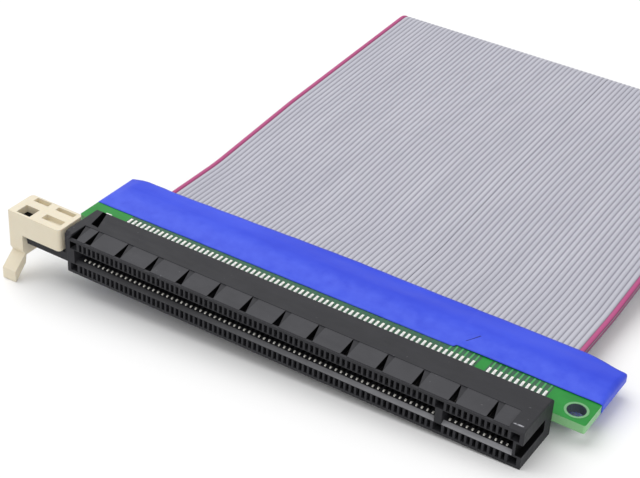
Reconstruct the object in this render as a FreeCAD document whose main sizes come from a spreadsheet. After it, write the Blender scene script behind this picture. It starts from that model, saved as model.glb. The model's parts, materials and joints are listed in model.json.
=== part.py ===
import FreeCAD, Part
import math
import os
import re
import Sketcher

# Flexible riser: a card-edge slot with a hinged retention latch sits astride a small green
# board.  Two layers of flat ribbon cable are held to that board by tape, run back in a low
# rise, turn over in one loop and return underneath to the plug-in edge board.
#
# Frame, in millimetres: x runs along the slot from its middle, y runs from the slot's mouth
# towards the ribbon, z = 0 is the underside of the slot housing.

SIZES = [
    # alias, value, meaning
    ("pitch", 1.0, "distance between neighbouring contacts"),
    ("long_count", 71, "contacts per row in the long part of the slot"),
    ("key_count", 2, "contact places taken by the key"),
    ("short_count", 11, "contacts per row in the short part of the slot"),
    ("end_margin", 3.0, "housing beyond the last contact's middle"),
    ("housing_depth", 10.3, "slot housing, mouth to back"),
    ("housing_height", 7.5, "slot housing, underside to top"),
    ("slot_level", 3.5, "height of the slot's middle plane"),
    ("back_bevel", 0.8, "bevel along the housing's upper back edge"),
    ("lip_height", 6.9, "height of the step along the front"),
    ("ramp_start", 0.4, "front end of the sloping pads"),
    ("ramp_end", 4.4, "line where the sloping pads reach the top"),
    ("ramp_width", 5.3, "width of one sloping pad"),
    ("ramp_pitch", 6.55, "distance between sloping pads"),
    ("ramp_count", 12, "full sloping pads"),
    ("ramp_inset", 4.94, "housing end to the first full pad"),
    ("left_ramp_width", 1.8, "part pad at the left end"),
    ("right_ramp_width", 2.76, "part pad at the right end"),
    ("mouth_half", 1.4, "half height of the slot's mouth"),
    ("slot_half", 0.975, "half height of the slot behind its lead-in"),
    ("lead_in", 0.8, "depth of the slot's lead-in slope"),
    ("slot_depth", 8.3, "depth of the slot and of the contact cells"),
    ("slot_side", 1.4, "slot end beyond the last contact's middle"),
    ("key_width", 1.3, "width of the key across the slot"),
    ("cell_width", 0.6, "width of a contact cell"),
    ("cell_outer", 3.0, "slot's middle plane to a cell's outer wall"),
    ("cell_inner", 1.5, "slot's middle plane to a cell window's inner edge"),
    ("wide_cell_width", 1.5, "width of the blind windows beside the rows"),
    ("wide_cell_gap", 1.55, "last contact to the middle of a blind window"),
    ("wide_cell_depth", 2.0, "depth of the blind windows"),
    ("notch_left", 1.0, "left end of housing to the notch in its top"),
    ("notch_width", 2.3, "width of the notch in the top"),
    ("notch_depth", 1.6, "depth of the notch at its left wall"),
    ("notch_front", 5.0, "front of the notch in the top"),
    ("notch_length", 4.3, "front-to-back length of the notch"),
    ("slit_length", 7.7, "front-to-back length of the slit in the right end"),
    ("slit_half", 1.15, "half height of the slit in the right end"),
    ("slit_depth", 1.1, "depth of the slit in the right end"),
    ("end_chamfer", 0.4, "chamfer on the right end's top edge"),
    ("end_wall", 1.0, "thickness of the raised left end wall"),
    ("arm_front", 0.7, "front face of the end wall and latch arm"),
    ("arm_bottom", 1.35, "underside of the latch arm"),
    ("arm_top", 3.0, "top of the latch arm"),
    ("arm_radius", 3.0, "round end of the latch arm about the pivot"),
    ("arm_corner", 0.5, "small outside corners of arm and end wall"),
    ("post_radius", 1.9, "hub that stands on the latch arm"),
    ("post_top", 6.2, "top of the hub"),
    ("pivot_bore", 1.2, "radius of the hub's bore"),
    ("pivot_play", 0.05, "radial clearance of the latch pin in its bore"),
    ("pivot_level", 5.0, "pivot behind the slot's mouth"),
    ("latch_gap", 0.75, "latch to end wall"),
    ("latch_play", 0.1, "latch above its arm and hub"),
    ("latch_length", 11.75, "latch, left to right"),
    ("latch_depth", 6.5, "latch, front to back"),
    ("latch_corner", 0.8, "rounded upright corners of the latch"),
    ("lever_width", 3.0, "width of the latch's lever"),
    ("lever_gap", 0.2, "lever to the end of the arm"),
    ("lever_back", 4.6, "back of the lever plate below the arm"),
    ("lever_foot", 1.3, "lever plate below the housing's underside"),
    ("lever_reach", 2.35, "lever tip in front of the slot's mouth"),
    ("lever_drop", 5.7, "lever tip below the housing's underside"),
    ("lever_rise", 3.5, "upper edge of the lever tip below the underside"),
    ("lever_waist", 0.5, "waist of the lever behind the slot's mouth"),
    ("lever_kink", 0.3, "short slopes where the lever turns forward"),
    ("lever_bend", 0.6, "underside of the lever above its tip's upper edge"),
    ("latch_pocket", 1.0, "depth of the blind pockets in the latch's top"),
    ("latch_wall", 0.5, "walls in front of the open pocket and behind the right one"),
    ("latch_back_wall", 0.3, "wall behind the left back pocket"),
    ("latch_left_wall", 1.6, "wall left of the latch's pockets"),
    ("latch_right_wall", 1.0, "wall right of the latch's pockets"),
    ("hub_overlap", 0.6, "left back pocket over the hub's edge"),
    ("pocket_gap", 0.5, "right back pocket from the pivot"),
    ("front_pocket_gap", 0.3, "front pockets from the pivot and over the hub's edge"),
    ("front_pocket_start", 1.5, "front of the blind front pocket"),
    ("front_pocket_end", 3.0, "back of the blind front pocket"),
    ("open_pocket_end", 3.2, "back of the open pocket"),
    ("contact_width", 0.45, "width of a contact strip"),
    ("contact_thickness", 0.28, "thickness of a contact strip"),
    ("tail_end", 14.45, "free ends of the soldered tails"),
    ("tip_bend", 2.2, "bend of the contact behind the slot's mouth"),
    ("tip_setback", 0.95, "contact tip behind the slot's mouth"),
    ("tip_lift", 0.5, "flare of the contact tip away from the card"),
    ("board_thickness", 1.6, "both boards"),
    ("board_depth", 11.7, "slot board, front to back"),
    ("board_left", 5.8, "slot board beyond the housing's left end"),
    ("board_right", 5.6, "slot board beyond the housing's right end"),
    ("board_corner", 0.4, "corner radius of the slot board"),
    ("hole_inset", 2.8, "fixing hole from the board's front and right edges"),
    ("hole_radius", 1.6, "fixing hole"),
    ("ring_radius", 2.0, "outside of the plated ring"),
    ("ring_thickness", 0.05, "plated ring above the board"),
    ("lock_width", 1.8, "soldered hold-down tab"),
    ("lock_length", 4.0, "soldered hold-down tab, front to back"),
    ("lock_thickness", 0.3, "soldered hold-down tab"),
    ("lock_margin", 0.5, "hold-down tab beyond the outside of the end wall"),
    ("tape_thickness", 0.12, "wrapped tape"),
    ("tape_front", 15.4, "front edge of the slot tape at its left end"),
    ("tape_skew", 0.45, "front edge falls back by this up to the step"),
    ("tape_step", 0.6, "step in the tape's front edge"),
    ("tape_tear", 0.15, "slant of that step"),
    ("tape_step_side", 23.7, "step in the front edge, from the slot's middle"),
    ("tape_back", 27.5, "back edge of the slot tape"),
    ("tape_back_skew", 1.2, "back edge comes forward by this at the left"),
    ("tape_left_corner", 0.7, "extra cut at the left back corner"),
    ("tape_corner_width", 8.0, "width of the slanting back corners"),
    ("tape_right_corner", 1.3, "back edge comes forward by this at the right"),
    ("wire_pitch", 1.0, "distance between wires of the ribbon"),
    ("wide_wires", 50, "wires in the wide ribbon"),
    ("narrow_wires", 34, "wires in the narrow ribbon"),
    ("ribbon_split", 0.3, "gap between the two ribbons of a layer"),
    ("ribbon_ridge", 0.22, "depth of the grooves between wires"),
    ("layer_gap", 0.02, "gap between the two layers"),
    ("flat_run", 15.4, "level run behind the slot board"),
    ("rise_angle", 5.0, "slope of the rising ribbon, degrees"),
    ("rise_run", 22.4, "length of the rise"),
    ("crest_angle", 3.0, "slope of the ribbon up to its loop, degrees"),
    ("crest_run", 43.0, "length of the run up to the loop"),
    ("bend_radius", 60.0, "gentle bends of the ribbon"),
    ("bend_step", 26.0, "turn of the ribbon from one short flat to the next, degrees"),
    ("edge_back", 101.0, "back edge of the edge board"),
    ("edge_depth", 22.0, "edge board, front to back"),
    ("edge_margin", 3.5, "edge board beyond the last finger's middle"),
    ("tongue_margin", 1.4, "tongue beyond the last finger's middle"),
    ("tongue_depth", 8.0, "length of the plug-in tongue"),
    ("tongue_chamfer", 0.8, "lead-in corners of the tongue"),
    ("key_notch", 1.9, "width of the notch for the key"),
    ("key_notch_depth", 7.0, "depth of the notch for the key"),
    ("finger_width", 0.7, "gold finger"),
    ("finger_length", 4.5, "gold finger"),
    ("finger_setback", 0.6, "bare board in front of the fingers"),
    ("finger_thickness", 0.04, "gold finger above the board"),
    ("edge_tape_front", 95.0, "front edge of the edge board's tape"),
    ("edge_tape_back", 107.0, "back edge of the edge board's tape"),
]

# Sizes that follow from the ones above.
DERIVED = {
    "half_span": "pitch * (long_count + key_count + short_count - 1) / 2",
    "half_length": "half_span + end_margin",
    "first_long": "0 - half_span",
    "first_short": "first_long + pitch * (long_count + key_count)",
    "key_side": "first_long + pitch * (long_count + (key_count - 1) / 2)",
    "first_ramp": "ramp_inset - half_length",
    "wall_side": "0 - half_length - end_wall",
    "latch_right": "wall_side - latch_gap",
    "latch_left": "latch_right - latch_length",
    "arm_left": "latch_left + lever_width + lever_gap",
    "pivot_side": "arm_left + arm_radius",
    "latch_bottom": "arm_top + latch_play",
    "board_half": "board_thickness / 2",
    "board_back": "housing_depth + board_depth",
    "board_left_side": "0 - half_length - board_left",
    "board_right_side": "half_length + board_right",
    "board_top": "slot_level + board_half",
    "board_bottom": "slot_level - board_half",
    "hole_side": "board_right_side - hole_inset",
    "hole_level": "housing_depth + hole_inset",
    "edge_level": "tape_thickness + board_half",
    "edge_half": "half_span + edge_margin",
    "tongue_half": "half_span + tongue_margin",
    "edge_front": "edge_back - edge_depth",
}

# Corner style of a swept solid: neighbouring runs meet in a mitre.
MITRED = 1

# Two places closer than this are the same place.
SAME_PLACE = 0.001

ALIASES = [alias for alias, number, meaning in SIZES]
doc = FreeCAD.newDocument("flexible_riser")
sheet = doc.addObject("Spreadsheet::Sheet", "sizes")
for row, (alias, number, meaning) in enumerate(SIZES, start=1):
    sheet.set("A%d" % row, meaning)
    sheet.set("B%d" % row, str(number))
    sheet.setAlias("B%d" % row, alias)
doc.recompute()
subparts = []


def bound(text):
    """Point the names in an expression at the sheet's cells."""
    def target(word):
        name = word.group()
        if name in DERIVED:
            return "(" + bound(DERIVED[name]) + ")"
        if name in ALIASES:
            return "sizes." + name
        return name
    return re.sub(r"[a-z_]+", target, text)


def value(text):
    """Work an expression out as a number."""
    return float(sheet.evalExpression(bound(text)))


def new_body(label):
    """Start the body of one sub-part."""
    body = doc.addObject("PartDesign::Body", label)
    body.Label = label
    body.Placement = FreeCAD.Placement()
    body.AllowCompound = True
    subparts.append(body)
    return body


def datum(body, role):
    """Find one of a body's own origin planes or axes."""
    return [feature for feature in body.Origin.OriginFeatures if feature.Role == role][0]


def new_sketch(body, name, plane, offset):
    """Attach an empty sketch to an origin plane, moved along the plane's normal."""
    sketch = body.newObject("Sketcher::SketchObject", name)
    sketch.AttachmentSupport = (datum(body, plane), [""])
    sketch.MapMode = "FlatFace"
    sketch.setExpression("AttachmentOffset.Base.z", bound(offset))
    return sketch


def place_point(sketch, geometry, point, across, up):
    """Hold one point of a sketch at a place given by two expressions."""
    for kind, text in (("DistanceX", across), ("DistanceY", up)):
        rule = Sketcher.Constraint(kind, -1, 1, geometry, point, value(text))
        index = sketch.addConstraint(rule)
        sketch.setExpression("Constraints[%d]" % index, bound(text))


def outline(body, name, plane, loops, offset="0"):
    """Sketch closed loops of straight lines through the given corners."""
    sketch = new_sketch(body, name, plane, offset)
    for corners in loops:
        first = sketch.GeometryCount
        count = len(corners)
        spots = [FreeCAD.Vector(value(across), value(up), 0) for across, up in corners]
        for index in range(count):
            line = Part.LineSegment(spots[index], spots[(index + 1) % count])
            sketch.addGeometry(line, False)
        for index in range(count):
            following = first + (index + 1) % count
            sketch.addConstraint(Sketcher.Constraint("Coincident", first + index, 2, following, 1))
        for index, (across, up) in enumerate(corners):
            place_point(sketch, first + index, 1, across, up)
    return sketch


def rings(body, name, plane, centre, radii, offset="0"):
    """Sketch circles about one centre."""
    sketch = new_sketch(body, name, plane, offset)
    spot = FreeCAD.Vector(value(centre[0]), value(centre[1]), 0)
    upright = FreeCAD.Vector(0, 0, 1)
    for radius in radii:
        index = sketch.addGeometry(Part.Circle(spot, upright, value(radius)), False)
        place_point(sketch, index, 3, centre[0], centre[1])
        rule = sketch.addConstraint(Sketcher.Constraint("Radius", index, value(radius)))
        sketch.setExpression("Constraints[%d]" % rule, bound(radius))
    return sketch


def rectangle(left, right, low, high):
    """Corners of an upright rectangle."""
    return [(left, low), (right, low), (right, high), (left, high)]


def add(body, profile, length, side="One side", back=False):
    """Pad a profile; back turns the pad against the plane's normal."""
    feature = body.newObject("PartDesign::Pad", profile.Name + "_pad")
    feature.Profile = profile
    feature.SideType = side
    feature.Reversed = back
    feature.setExpression("Length", bound(length))
    return feature


def cut(body, profile, length, side="One side", forward=False):
    """Pocket a profile against the plane's normal, or along it."""
    feature = body.newObject("PartDesign::Pocket", profile.Name + "_pocket")
    feature.Profile = profile
    feature.SideType = side
    feature.Reversed = forward
    feature.setExpression("Length", bound(length))
    return feature


def repeat(body, feature, spacing, count):
    """Repeat a feature along x."""
    pattern = body.newObject("PartDesign::LinearPattern", feature.Name + "_row")
    pattern.Originals = [feature]
    pattern.Direction = (datum(body, "X_Axis"), [""])
    pattern.Mode = "Spacing"
    pattern.setExpression("Offset", bound(spacing))
    pattern.setExpression("Occurrences", bound(count))
    body.Tip = pattern
    return pattern


def near(first, second):
    """Tell whether two lengths are the same."""
    return abs(first - second) < SAME_PLACE


def dress(body, kind, name, radius, test):
    """Fillet or chamfer the edges that pass a test on their two ends."""
    doc.recompute()
    base = body.Tip
    chosen = []
    for number, edge in enumerate(base.Shape.Edges, start=1):
        if len(edge.Vertexes) == 2 and test(edge.Vertexes[0].Point, edge.Vertexes[1].Point):
            chosen.append("Edge%d" % number)
    feature = body.newObject("PartDesign::" + kind, name)
    feature.Base = (base, chosen)
    feature.setExpression("Radius" if kind == "Fillet" else "Size", bound(radius))
    return feature


def upright_at(side, depth):
    """Test for an upright edge at one place in plan."""
    x = value(side)
    y = value(depth)
    return lambda a, b: near(a.x, x) and near(b.x, x) and near(a.y, y) and near(b.y, y)


def level_at(side, height):
    """Test for an edge that runs front to back at one place."""
    x = value(side)
    z = value(height)
    return lambda a, b: near(a.x, x) and near(b.x, x) and near(a.z, z) and near(b.z, z)


def build_housing():
    """Moulded slot housing with its comb of contact cells and the arm for the latch."""
    body = new_body("slot_housing")
    block = outline(body, "block", "YZ_Plane", [[
        ("0", "0"),
        ("housing_depth", "0"),
        ("housing_depth", "housing_height - back_bevel"),
        ("housing_depth - back_bevel", "housing_height"),
        ("ramp_end", "housing_height"),
        ("ramp_end", "lip_height"),
        ("0", "lip_height"),
    ]])
    add(body, block, "2 * half_length", side="Symmetric")
    dress(body, "Chamfer", "end_bevel", "end_chamfer", level_at("half_length", "housing_height"))

    # Raised wall at the left end, and the arm and hub that carry the latch.
    wall = outline(body, "end_wall_side", "YZ_Plane", [[
        ("arm_front", "arm_bottom"),
        ("housing_depth", "arm_bottom"),
        ("housing_depth", "housing_height - back_bevel"),
        ("housing_depth - back_bevel", "housing_height"),
        ("arm_front + arm_corner", "housing_height"),
        ("arm_front", "housing_height - arm_corner"),
    ]], offset="0 - half_length")
    add(body, wall, "end_wall", back=True)
    plan = rectangle("arm_left", "wall_side", "arm_front", "pivot_level + arm_radius")
    arm = outline(body, "arm_plan", "XY_Plane", [plan], offset="arm_bottom")
    add(body, arm, "arm_top - arm_bottom")
    round_end = upright_at("arm_left", "pivot_level + arm_radius")
    dress(body, "Fillet", "arm_round_end", "arm_radius", round_end)
    dress(body, "Fillet", "arm_front_corner", "arm_corner", upright_at("arm_left", "arm_front"))
    pivot = ("pivot_side", "pivot_level")
    hub = rings(body, "hub_plan", "XY_Plane", pivot, ["post_radius"], offset="arm_top")
    add(body, hub, "post_top - arm_top")
    bore = rings(body, "bore_plan", "XY_Plane", pivot, ["pivot_bore"], offset="post_top")
    cut(body, bore, "post_top - arm_bottom")

    # Sloping pads along the top, with open grooves between them.
    slope = [
        ("ramp_start", "lip_height"),
        ("ramp_end", "lip_height"),
        ("ramp_end", "housing_height"),
    ]
    ramp = outline(body, "ramp", "YZ_Plane", [slope], offset="first_ramp")
    repeat(body, add(body, ramp, "ramp_width"), "ramp_pitch", "ramp_count")
    left_ramp = outline(body, "left_ramp", "YZ_Plane", [slope],
                        offset="first_ramp - ramp_pitch + ramp_width")
    add(body, left_ramp, "left_ramp_width", back=True)
    right_ramp = outline(body, "right_ramp", "YZ_Plane", [slope],
                         offset="first_ramp + ramp_pitch * ramp_count")
    add(body, right_ramp, "right_ramp_width")

    # Notch in the top beside the end wall: its floor rises to the right.
    notch = outline(body, "notch", "XZ_Plane", [[
        ("notch_left - half_length", "housing_height"),
        ("notch_left - half_length", "housing_height - notch_depth"),
        ("notch_left + notch_width - half_length", "housing_height"),
    ]], offset="0 - notch_front")
    cut(body, notch, "notch_length")

    # Slit in the right end face, open to the front.
    slit_face = rectangle("0", "slit_length", "slot_level - slit_half", "slot_level + slit_half")
    slit = outline(body, "end_slit", "YZ_Plane", [slit_face], offset="half_length")
    cut(body, slit, "slit_depth")

    # The slot itself, in two lengths with the key left standing between them.
    mouth = [
        ("0", "slot_level - mouth_half"),
        ("0", "slot_level + mouth_half"),
        ("lead_in", "slot_level + slot_half"),
        ("slot_depth", "slot_level + slot_half"),
        ("slot_depth", "slot_level - slot_half"),
        ("lead_in", "slot_level - slot_half"),
    ]
    long_slot = outline(body, "long_slot", "YZ_Plane", [mouth], offset="first_long - slot_side")
    cut(body, long_slot, "key_side - key_width / 2 - first_long + slot_side", forward=True)
    short_slot = outline(body, "short_slot", "YZ_Plane", [mouth], offset="key_side + key_width / 2")
    cut(body, short_slot, "half_span + slot_side - key_side - key_width / 2", forward=True)

    # Blind windows at both ends of the rows and at the key.
    windows = []
    for middle in ("first_long - wide_cell_gap", "key_side", "half_span + wide_cell_gap"):
        left = middle + " - wide_cell_width / 2"
        right = middle + " + wide_cell_width / 2"
        windows.append(rectangle(left, right, "slot_level + cell_inner", "slot_level + cell_outer"))
        windows.append(rectangle(left, right, "slot_level - cell_outer", "slot_level - cell_inner"))
    blind = outline(body, "blind_windows", "XZ_Plane", windows)
    cut(body, blind, "wide_cell_depth")

    # One cell for an upper and a lower contact: a window on each side of the mouth, then a
    # chamber that is open to the slot, and behind it a passage over the base for each tail.
    cell = [
        ("0", "slot_level + cell_inner"),
        ("0", "slot_level + cell_outer"),
        ("housing_depth", "slot_level + cell_outer"),
        ("housing_depth", "board_top"),
        ("slot_depth", "board_top"),
        ("slot_depth", "board_bottom"),
        ("housing_depth", "board_bottom"),
        ("housing_depth", "slot_level - cell_outer"),
        ("0", "slot_level - cell_outer"),
        ("0", "slot_level - cell_inner"),
        ("lead_in", "slot_level - cell_inner"),
        ("lead_in", "slot_level + cell_inner"),
    ]
    for group in ("long", "short"):
        profile = outline(body, group + "_cell", "YZ_Plane", [cell], offset="first_" + group)
        pocket = cut(body, profile, "cell_width", side="Symmetric")
        repeat(body, pocket, "pitch", group + "_count")


def build_latch():
    """One-piece retention latch: hollow block, turning pin and the lever for a finger."""
    body = new_body("retention_latch")
    block_plan = rectangle("latch_left", "latch_right", "0", "latch_depth")
    block = outline(body, "latch_block", "XY_Plane", [block_plan], offset="latch_bottom")
    add(body, block, "housing_height - latch_bottom")
    for name, side, depth in (
        ("latch_corner_front", "latch_right", "0"),
        ("latch_corner_back", "latch_right", "latch_depth"),
        ("latch_corner_left", "latch_left", "latch_depth"),
    ):
        dress(body, "Fillet", name, "latch_corner", upright_at(side, depth))

    # Lever plate: straight down past the arm, a waist, then the fingertip.
    lever = outline(body, "lever", "YZ_Plane", [[
        ("0", "latch_bottom"),
        ("0", "0"),
        ("lever_waist", "lever_kink - lever_foot"),
        ("0 - lever_reach", "0 - lever_rise"),
        ("0 - lever_reach", "0 - lever_drop"),
        ("lever_waist", "lever_bend - lever_rise"),
        ("lever_waist + lever_kink", "0 - lever_foot"),
        ("lever_back", "0 - lever_foot"),
        ("lever_back", "latch_bottom"),
    ]], offset="latch_left")
    add(body, lever, "lever_width")

    # Blind pockets in the top, and one at the front that is open right through.
    left_wall = "latch_left + latch_left_wall"
    right_wall = "latch_right - latch_right_wall"
    hub_side = "pivot_side - post_radius"
    blind_plans = [
        rectangle(left_wall, hub_side + " + hub_overlap", "pivot_level",
                  "latch_depth - latch_back_wall"),
        rectangle("pivot_side + pocket_gap", right_wall, "pivot_level", "latch_depth - latch_wall"),
        rectangle("pivot_side + front_pocket_gap", right_wall,
                  "front_pocket_start", "front_pocket_end"),
    ]
    blind = outline(body, "blind_pockets", "XY_Plane", blind_plans, offset="housing_height")
    cut(body, blind, "latch_pocket")
    open_plan = rectangle(left_wall, hub_side + " + front_pocket_gap",
                          "latch_wall", "open_pocket_end")
    window = outline(body, "open_pocket", "XY_Plane", [open_plan], offset="housing_height")
    cut(body, window, "housing_height - latch_bottom")

    # Room for the hub, with the pin left standing inside it.
    pivot = ("pivot_side", "pivot_level")
    room = rings(body, "hub_room", "XY_Plane", pivot, ["post_radius + latch_play"],
                 offset="latch_bottom")
    cut(body, room, "post_top - arm_top", forward=True)
    pin = rings(body, "pin_plan", "XY_Plane", pivot, ["pivot_bore - pivot_play"],
                offset="arm_bottom")
    add(body, pin, "post_top + latch_play - arm_bottom")


def contact_outline(sign):
    """Corners of one contact strip seen from the side; sign is + or - for its row."""
    line = [
        ("tail_end", "board_half + contact_thickness / 2"),
        ("tip_bend", "board_half + contact_thickness / 2"),
        ("tip_setback", "board_half + contact_thickness / 2 + tip_lift"),
    ]
    outer = [(y, "slot_level %s (%s + contact_thickness / 2)" % (sign, z)) for y, z in line]
    inner = [(y, "slot_level %s (%s - contact_thickness / 2)" % (sign, z)) for y, z in line]
    return outer + inner[::-1]


def build_contacts():
    """Stamped contacts of both rows, in a long and a short group like the slot."""
    for row, sign in (("upper", "+"), ("lower", "-")):
        for group in ("long", "short"):
            body = new_body("%s_contacts_%s" % (row, group))
            profile = outline(body, "%s_%s_strip" % (row, group), "YZ_Plane",
                              [contact_outline(sign)], offset="first_" + group)
            strip = add(body, profile, "contact_width", side="Symmetric")
            repeat(body, strip, "pitch", group + "_count")


def build_slot_board():
    """Green board that the slot sits astride, its plated ring and the hold-down tabs."""
    body = new_body("slot_board")
    plan = rectangle("board_left_side", "board_right_side", "housing_depth", "board_back")
    profile = outline(body, "board_plan", "XY_Plane", [plan], offset="board_bottom")
    add(body, profile, "board_thickness")
    for name, side in (("left_corner", "board_left_side"), ("right_corner", "board_right_side")):
        dress(body, "Fillet", name, "board_corner", upright_at(side, "housing_depth"))
    centre = ("hole_side", "hole_level")
    hole = rings(body, "fixing_hole", "XY_Plane", centre, ["hole_radius"], offset="board_top")
    cut(body, hole, "board_thickness")

    ring = new_body("fixing_hole_ring")
    circles = ["hole_radius", "ring_radius"]
    upper = rings(ring, "upper_ring", "XY_Plane", centre, circles, offset="board_top")
    add(ring, upper, "ring_thickness")
    lower = rings(ring, "lower_ring", "XY_Plane", centre, circles, offset="board_bottom")
    add(ring, lower, "ring_thickness", back=True)

    for name, outside, inside in (
        ("board_lock_left", "wall_side - lock_margin", "wall_side - lock_margin + lock_width"),
        ("board_lock_right", "half_length + lock_margin", "half_length + lock_margin - lock_width"),
    ):
        lock = new_body(name)
        tab = rectangle(outside, inside, "housing_depth", "housing_depth + lock_length")
        plan = outline(lock, name + "_plan", "XY_Plane", [tab], offset="board_top")
        add(lock, plan, "lock_thickness")


def build_tape(label, plan, half_widths, level):
    """Tape wrapped flat round a board: a closed sleeve, open in front and behind."""
    body = new_body(label)
    profile = outline(body, label + "_plan", "XY_Plane", [plan],
                      offset="%s - board_half - tape_thickness" % level)
    add(body, profile, "board_thickness + 2 * tape_thickness")
    left, right = half_widths
    inside = rectangle(left, right, level + " - board_half", level + " + board_half")
    room = outline(body, label + "_inside", "XZ_Plane", [inside])
    cut(body, room, "2 * edge_tape_back", side="Symmetric")


def build_tapes():
    """Blue tape over the joints of the ribbon with the two boards."""
    left = "board_left_side - tape_thickness"
    right = "board_right_side + tape_thickness"
    slot_plan = [
        (left, "tape_front"),
        ("tape_step_side", "tape_front + tape_skew"),
        ("tape_step_side + tape_tear", "tape_front + tape_skew + tape_step"),
        (right, "tape_front + tape_skew + tape_step"),
        (right, "tape_back - tape_right_corner"),
        (right + " - tape_corner_width", "tape_back"),
        ("0", "tape_back"),
        (left + " + tape_corner_width", "tape_back - tape_back_skew"),
        (left, "tape_back - tape_back_skew - tape_left_corner"),
    ]
    build_tape("slot_board_tape", slot_plan, ("board_left_side", "board_right_side"), "slot_level")
    edge_plan = rectangle("0 - edge_half - tape_thickness", "edge_half + tape_thickness",
                          "edge_tape_front", "edge_tape_back")
    build_tape("edge_board_tape", edge_plan, ("0 - edge_half", "edge_half"), "edge_level")


def ribbon_spine():
    """Middle surface of the ribbon pair: level, rising, nearly level, then over and back."""
    edges = []
    state = [value("board_back"), value("slot_level"), 0.0]

    def spot(y, z):
        return FreeCAD.Vector(0, y, z)

    def straight(length):
        y, z, angle = state
        state[0] = y + length * math.cos(angle)
        state[1] = z + length * math.sin(angle)
        edges.append(Part.LineSegment(spot(y, z), spot(state[0], state[1])).toShape())

    def turn(sweep, radius):
        steps = math.ceil(abs(sweep) / math.radians(value("bend_step")))
        chord = 2 * radius * math.sin(abs(sweep) / steps / 2)
        for step in range(steps):
            state[2] += sweep / steps / 2
            straight(chord)
            state[2] += sweep / steps / 2

    rise = math.radians(value("rise_angle"))
    crest = math.radians(value("crest_angle"))
    straight(value("flat_run"))
    turn(rise, value("bend_radius"))
    straight(value("rise_run"))
    turn(crest - rise, value("bend_radius"))
    straight(value("crest_run"))
    drop = state[1] - value("edge_level")
    turn(-math.pi - crest, drop / (1 + math.cos(crest)))
    straight(state[0] - value("edge_back"))
    return Part.Wire(edges)


def ribbon_section(left, wires, near_face, far_face, ridge):
    """Cross-section of a ribbon at the start of its run, ridged over every wire."""
    pitch = value("wire_pitch")
    y = value("board_back")
    z = value("slot_level")
    right = left + wires * pitch
    corners = [(right, near_face), (left, near_face), (left, far_face - ridge)]
    if ridge:
        for wire in range(wires):
            corners.append((left + (wire + 0.5) * pitch, far_face))
            corners.append((left + (wire + 1) * pitch, far_face - ridge))
    else:
        corners.append((right, far_face))
    points = [FreeCAD.Vector(x, y, z + height) for x, height in corners]
    return Part.makePolygon(points + points[:1])


def build_ribbons():
    """Two layers of flat cable, each of a wide and a narrow ribbon side by side."""
    spine = ribbon_spine()
    gap = value("layer_gap") / 2
    thickness = value("board_half")
    wide = int(value("wide_wires"))
    narrow = int(value("narrow_wires"))
    pitch = value("wire_pitch")
    whole = (wide + narrow) * pitch + value("ribbon_split")
    left = -whole / 2
    second_left = left + wide * pitch + value("ribbon_split")
    for layer, near_face, far_face, ridge in (
        ("outer", gap, thickness, value("ribbon_ridge")),
        ("inner", -gap, -thickness, 0.0),
    ):
        for group, start, wires in (("wide", left, wide), ("narrow", second_left, narrow)):
            section = ribbon_section(start, wires, near_face, far_face, ridge)
            feature = doc.addObject("Part::Feature", "%s_ribbon_%s" % (layer, group))
            feature.Label = feature.Name
            feature.Shape = spine.makePipeShell([section], True, False, MITRED)
            feature.Placement = FreeCAD.Placement()
            subparts.append(feature)


def build_edge_board():
    """Plug-in board at the ribbon's far end, with its key notch and gold fingers."""
    body = new_body("edge_board")
    shoulder = "edge_front + tongue_depth"
    notch_left = "key_side - key_notch / 2"
    notch_right = "key_side + key_notch / 2"
    plan = outline(body, "edge_plan", "XY_Plane", [[
        ("tongue_chamfer - tongue_half", "edge_front"),
        (notch_left, "edge_front"),
        (notch_left, "edge_front + key_notch_depth"),
        (notch_right, "edge_front + key_notch_depth"),
        (notch_right, "edge_front"),
        ("tongue_half - tongue_chamfer", "edge_front"),
        ("tongue_half", "edge_front + tongue_chamfer"),
        ("tongue_half", shoulder),
        ("edge_half", shoulder),
        ("edge_half", "edge_back"),
        ("0 - edge_half", "edge_back"),
        ("0 - edge_half", shoulder),
        ("0 - tongue_half", shoulder),
        ("0 - tongue_half", "edge_front + tongue_chamfer"),
    ]], offset="edge_level - board_half")
    add(body, plan, "board_thickness")
    for row, face in (("upper", "edge_level + board_half"), ("lower", "edge_level - board_half")):
        for group in ("long", "short"):
            fingers = new_body("edge_fingers_%s_%s" % (row, group))
            middle = "first_" + group
            strip = rectangle(middle + " - finger_width / 2", middle + " + finger_width / 2",
                              "edge_front + finger_setback",
                              "edge_front + finger_setback + finger_length")
            plan = outline(fingers, "%s_%s_finger" % (row, group), "XY_Plane", [strip], offset=face)
            finger = add(fingers, plan, "finger_thickness", back=(row == "lower"))
            repeat(fingers, finger, "pitch", group + "_count")


def check_and_export():
    """Stop on anything that failed to build, then write one file for each sub-part."""
    doc.recompute()
    for item in doc.Objects:
        if "Invalid" in item.State or "Error" in item.State:
            raise RuntimeError("%s failed: %s" % (item.Name, item.State))
    for item in subparts:
        if item.Shape.isNull() or not item.Shape.isValid() or not item.Shape.Solids:
            raise RuntimeError("%s has no valid solid" % item.Label)
    os.makedirs("parts", exist_ok=True)
    for item in subparts:
        item.Shape.exportStep("parts/%s.step" % item.Label)


build_housing()
build_latch()
build_contacts()
build_slot_board()
build_tapes()
build_ribbons()
build_edge_board()
check_and_export()
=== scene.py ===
import bmesh
import bpy
import json
import math
import random
from mathutils import Matrix, Vector, noise


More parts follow.
